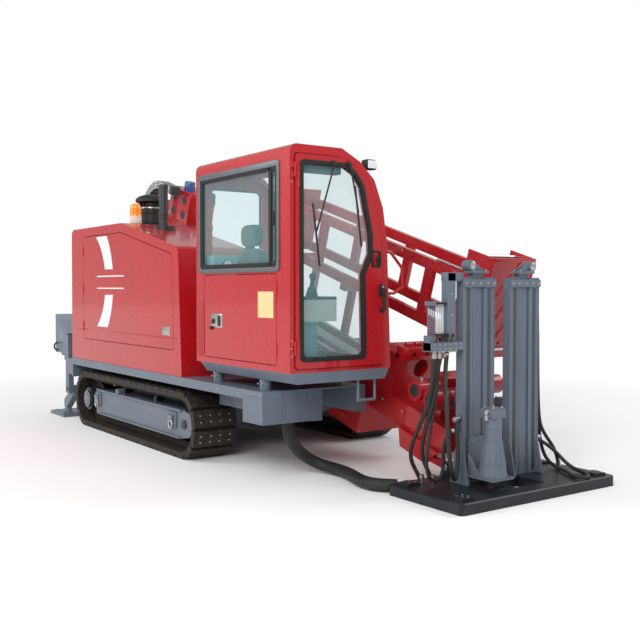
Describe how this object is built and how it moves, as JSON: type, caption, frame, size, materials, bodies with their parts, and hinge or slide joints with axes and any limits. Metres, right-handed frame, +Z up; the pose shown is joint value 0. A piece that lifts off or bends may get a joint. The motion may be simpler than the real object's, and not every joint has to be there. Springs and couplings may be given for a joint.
{
  "type": "tracked horizontal directional drill with cab",
  "caption": "Self-propelled horizontal directional drill on steel tracks: sloping drill mast with rod box, operator's cab, engine hood, and a front anchor plate with auger drives.",
  "frame": {"origin": "on the ground, under the middle of the whole machine's bounding box", "axes": "+X forward in the drilling direction, +Y to the machine's left, +Z up"},
  "size_m": [6.52, 2.24, 2.7529],
  "materials": {
    "red_paint": "gloss red paint",
    "blue_grey_paint": "satin blue-grey paint",
    "slate_paint": "satin dark slate paint",
    "track_steel": "dark worn steel",
    "black_steel": "satin black paint",
    "black_plastic": "matt black",
    "galvanised": "galvanised sheet",
    "bright_steel": "bright machined steel",
    "chrome_rod": "hard chrome",
    "window_glass": "pale green tint",
    "seat_cloth": "black woven cloth",
    "console_grey": "light grey moulding",
    "amber_lens": "amber lens on a white base"
  },
  "bodies": {
    "chassis": {"undercarriage_frame": "blue_grey_paint", "track_right": "track_steel", "track_left": "track_steel", "running_gear_right": "black_steel", "running_gear_left": "black_steel", "main_frame": "blue_grey_paint", "cylinder_feet": "blue_grey_paint", "engine_block": "black_steel", "hood": "red_paint", "exhaust_stack": "black_steel", "air_cleaner": "black_plastic", "beacon": "amber_lens", "mud_pump": "blue_grey_paint", "side_tank": "red_paint", "cab_shell": "red_paint", "cab_glass": "window_glass", "cab_base": "blue_grey_paint", "operator_seat": "seat_cloth", "control_console": "console_grey"},
    "cab_door_body": {"cab_door": "red_paint", "cab_door_glass": "window_glass"},
    "cab_side_door_body": {"cab_side_door": "red_paint"},
    "engine_door_body": {"engine_door": "red_paint"},
    "leg_right": {"rear_leg_right": "blue_grey_paint"},
    "leg_left": {"rear_leg_left": "blue_grey_paint"},
    "mast": {"mast_beam": "red_paint", "mast_rails": "bright_steel", "rod_box": "red_paint", "front_vise": "red_paint", "vise_seat": "red_paint", "hose_carrier": "galvanised"},
    "head": {"power_head": "red_paint"},
    "spindle_body": {"spindle": "bright_steel"},
    "breakout": {"breakout_vise": "red_paint"},
    "barrels": {"tilt_barrels": "black_steel"},
    "rods": {"tilt_rods": "chrome_rod"},
    "anchor_frame": {"anchor_plate": "slate_paint", "anchor_columns": "blue_grey_paint", "valve_bank": "blue_grey_paint"},
    "drive_near": {"anchor_drive_near": "blue_grey_paint"},
    "drive_far": {"anchor_drive_far": "blue_grey_paint"},
    "socket_near": {"auger_socket_near": "black_steel"},
    "socket_far": {"auger_socket_far": "black_steel"}
  },
  "joints": [
    {"name": "mast_tilt", "type": "hinge", "parent": "chassis", "child": "mast", "pos_m": [1.15, 0.3, 0.5], "axis": [0, -1, 0], "range_deg": [0, 8]},
    {"name": "tilt_barrel_swing", "type": "hinge", "parent": "chassis", "child": "barrels", "pos_m": [-1.29, 0.3, 0.48], "axis": [0, -1, 0], "range_deg": [0, 8.2]},
    {"name": "tilt_rod_slide", "type": "slide", "parent": "barrels", "child": "rods", "axis": [-0.0481, 0, -0.9988], "range_m": [0, 0.342]},
    {"name": "power_head_feed", "type": "slide", "parent": "mast", "child": "head", "axis": [0.9553, 0, -0.2957], "range_m": [0, 3.3]},
    {"name": "spindle_turn", "type": "hinge", "parent": "head", "child": "spindle_body", "pos_m": [-1.80669, 0.3, 1.99864], "axis": [0.9553, 0, -0.2957], "continuous": true},
    {"name": "breakout_turn", "type": "hinge", "parent": "mast", "child": "breakout", "pos_m": [2.52072, 0.3, 0.65908], "axis": [-0.9553, 0, 0.2957], "range_deg": [0, 20]},
    {"name": "anchor_frame_pitch", "type": "hinge", "parent": "mast", "child": "anchor_frame", "pos_m": [2.56, 0.21, 0.15], "axis": [0, 1, 0], "range_deg": [0, 10]},
    {"name": "anchor_drive_near_feed", "type": "slide", "parent": "anchor_frame", "child": "drive_near", "axis": [0, 0, 1], "range_m": [0, 0.74]},
    {"name": "anchor_drive_far_feed", "type": "slide", "parent": "anchor_frame", "child": "drive_far", "axis": [0, 0, 1], "range_m": [0, 0.74]},
    {"name": "auger_turn_near", "type": "hinge", "parent": "drive_near", "child": "socket_near", "pos_m": [3.005, 0.05, 0.09], "axis": [0, 0, 1], "continuous": true},
    {"name": "auger_turn_far", "type": "hinge", "parent": "drive_far", "child": "socket_far", "pos_m": [2.645, 0.545, 0.09], "axis": [0, 0, 1], "continuous": true},
    {"name": "cab_door_swing", "type": "hinge", "parent": "chassis", "child": "cab_door_body", "pos_m": [2.162, -1.072, 1.6], "axis": [0, 0, -1], "range_deg": [0, 100]},
    {"name": "cab_side_door_swing", "type": "hinge", "parent": "chassis", "child": "cab_side_door_body", "pos_m": [1.972, -1.11, 1.25], "axis": [0, 0, 1], "range_deg": [0, 110]},
    {"name": "engine_door_swing", "type": "hinge", "parent": "chassis", "child": "engine_door_body", "pos_m": [-1.927, -1.11, 1.4], "axis": [0, 0, -1], "range_deg": [0, 110]},
    {"name": "leg_right_swing", "type": "hinge", "parent": "chassis", "child": "leg_right", "pos_m": [-2.44, -1.02, 0.345], "axis": [0, 1, 0], "range_deg": [0, 50]},
    {"name": "leg_left_swing", "type": "hinge", "parent": "chassis", "child": "leg_left", "pos_m": [-2.44, 1.02, 0.345], "axis": [0, 1, 0], "range_deg": [0, 50]}
  ],
  "couplings": [
    {"joint": "tilt_barrel_swing", "follows": "mast_tilt", "ratio": 1.01},
    {"joint": "tilt_rod_slide", "follows": "mast_tilt", "m_per_rad": 2.44}
  ]
}
